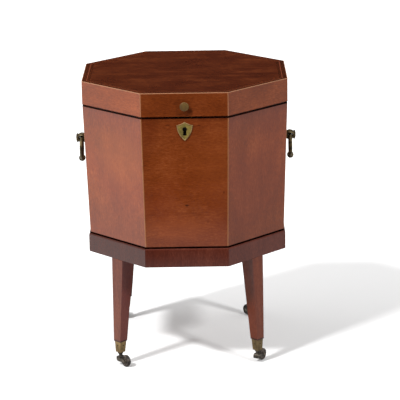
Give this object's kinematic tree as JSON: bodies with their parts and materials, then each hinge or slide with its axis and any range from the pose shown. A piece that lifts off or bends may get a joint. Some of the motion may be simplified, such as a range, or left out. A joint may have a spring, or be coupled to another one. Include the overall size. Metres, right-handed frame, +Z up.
{
  "type": "cellarette",
  "caption": "Octagonal lockable wooden chest for bottles, with a hinged lid, ring handles and a divided inside, on a stand with splayed tapered legs and brass castors.",
  "frame": {"origin": "on the floor under the middle of the octagonal chest", "axes": "+Z up, -Y out of the lock and knob side, +Y towards the hinges, +X to the right seen from the front"},
  "size_m": [0.5048, 0.4762, 0.65],
  "materials": {
    "front_veneer": "french-polished mahogany veneer, orange-brown, vertical grain",
    "pale_veneer": "french-polished mahogany veneer, faded pinkish brown",
    "deep_veneer": "french-polished mahogany veneer, purplish brown",
    "lid_veneer": "french-polished mahogany veneer, dark red-brown, pale boxwood stringing on the edges",
    "inner_wood": "plain sawn and planed wood, unpolished",
    "stand_veneer": "polished mahogany crossbanding, dark brown",
    "leg_wood": "polished solid mahogany, reddish",
    "brass": "old lacquered brass, dulled",
    "aged_brass": "dark aged brass",
    "lock_steel": "dull steel",
    "castor_tread": "blackened, worn wheel with a paler hub"
  },
  "bodies": {
    "chest": {"right_board": "deep_veneer", "back_right_board": "deep_veneer", "back_board": "front_veneer", "back_left_board": "pale_veneer", "left_board": "pale_veneer", "front_left_board": "pale_veneer", "front_board": "front_veneer", "front_right_board": "deep_veneer", "chest_floor": "inner_wood", "front_division": "inner_wood", "back_division": "inner_wood", "left_division": "inner_wood", "right_division": "inner_wood", "lock_case": "lock_steel", "keyhole_escutcheon": "brass", "left_hinge_chest_leaf": "brass", "left_hinge_pin": "brass", "left_handle_boss": "aged_brass", "left_handle_nut": "aged_brass", "right_hinge_chest_leaf": "brass", "right_hinge_pin": "brass", "right_handle_boss": "aged_brass", "right_handle_nut": "aged_brass", "right_rail": "stand_veneer", "back_right_rail": "stand_veneer", "back_rail": "stand_veneer", "back_left_rail": "stand_veneer", "left_rail": "stand_veneer", "front_left_rail": "stand_veneer", "front_rail": "stand_veneer", "front_right_rail": "stand_veneer", "front_left_leg": "leg_wood", "front_left_castor_cup": "brass", "front_right_leg": "leg_wood", "front_right_castor_cup": "brass", "back_right_leg": "leg_wood", "back_right_castor_cup": "brass", "back_left_leg": "leg_wood", "back_left_castor_cup": "brass"},
    "lid": {"lid_rim": "lid_veneer", "lid_panel": "lid_veneer", "lid_knob": "brass", "link_plate": "brass", "left_hinge_lid_leaf": "brass", "right_hinge_lid_leaf": "brass"},
    "lock_bolt": {"lock_bolt": "brass"},
    "left_ring": {"left_handle_ring": "aged_brass"},
    "right_ring": {"right_handle_ring": "aged_brass"},
    "front_left_castor": {"front_left_castor_horn": "aged_brass", "front_left_castor_axle": "aged_brass"},
    "front_left_wheel": {"front_left_castor_wheel": "castor_tread"},
    "front_right_castor": {"front_right_castor_horn": "aged_brass", "front_right_castor_axle": "aged_brass"},
    "front_right_wheel": {"front_right_castor_wheel": "castor_tread"},
    "back_right_castor": {"back_right_castor_horn": "aged_brass", "back_right_castor_axle": "aged_brass"},
    "back_right_wheel": {"back_right_castor_wheel": "castor_tread"},
    "back_left_castor": {"back_left_castor_horn": "aged_brass", "back_left_castor_axle": "aged_brass"},
    "back_left_wheel": {"back_left_castor_wheel": "castor_tread"}
  },
  "joints": [
    {"name": "lid_hinge", "type": "hinge", "parent": "chest", "child": "lid", "pos_m": [0, 0.2335, 0.59525], "axis": [-1, 0, 0], "range_deg": [0, 100]},
    {"name": "lock_bolt_slide", "type": "slide", "parent": "chest", "child": "lock_bolt", "axis": [1, 0, 0], "range_m": [0, 0.008]},
    {"name": "left_ring_swing", "type": "hinge", "parent": "chest", "child": "left_ring", "pos_m": [-0.23995, 0, 0.49709], "axis": [0, 1, 0], "range_deg": [-8, 184]},
    {"name": "right_ring_swing", "type": "hinge", "parent": "chest", "child": "right_ring", "pos_m": [0.23995, 0, 0.49709], "axis": [0, -1, 0], "range_deg": [-8, 184]},
    {"name": "front_left_castor_swivel", "type": "hinge", "parent": "chest", "child": "front_left_castor", "pos_m": [-0.15673, -0.15673, 0.0135], "axis": [0, 0, 1], "continuous": true},
    {"name": "front_left_wheel_spin", "type": "hinge", "parent": "front_left_castor", "child": "front_left_wheel", "pos_m": [-0.14387, -0.17205, 0.0135], "axis": [0.766, 0.6428, 0], "continuous": true},
    {"name": "front_right_castor_swivel", "type": "hinge", "parent": "chest", "child": "front_right_castor", "pos_m": [0.15673, -0.15673, 0.0135], "axis": [0, 0, 1], "continuous": true},
    {"name": "front_right_wheel_spin", "type": "hinge", "parent": "front_right_castor", "child": "front_right_wheel", "pos_m": [0.16733, -0.13977, 0.0135], "axis": [-0.848, 0.5299, 0], "continuous": true},
    {"name": "back_right_castor_swivel", "type": "hinge", "parent": "chest", "child": "back_right_castor", "pos_m": [0.15673, 0.15673, 0.0135], "axis": [0, 0, 1], "continuous": true},
    {"name": "back_right_wheel_spin", "type": "hinge", "parent": "back_right_castor", "child": "back_right_wheel", "pos_m": [0.14259, 0.17087, 0.0135], "axis": [-0.7071, -0.7071, 0], "continuous": true},
    {"name": "back_left_castor_swivel", "type": "hinge", "parent": "chest", "child": "back_left_castor", "pos_m": [-0.15673, 0.15673, 0.0135], "axis": [0, 0, 1], "continuous": true},
    {"name": "back_left_wheel_spin", "type": "hinge", "parent": "back_left_castor", "child": "back_left_wheel", "pos_m": [-0.1602, 0.17643, 0.0135], "axis": [-0.9848, -0.1736, 0], "continuous": true}
  ]
}
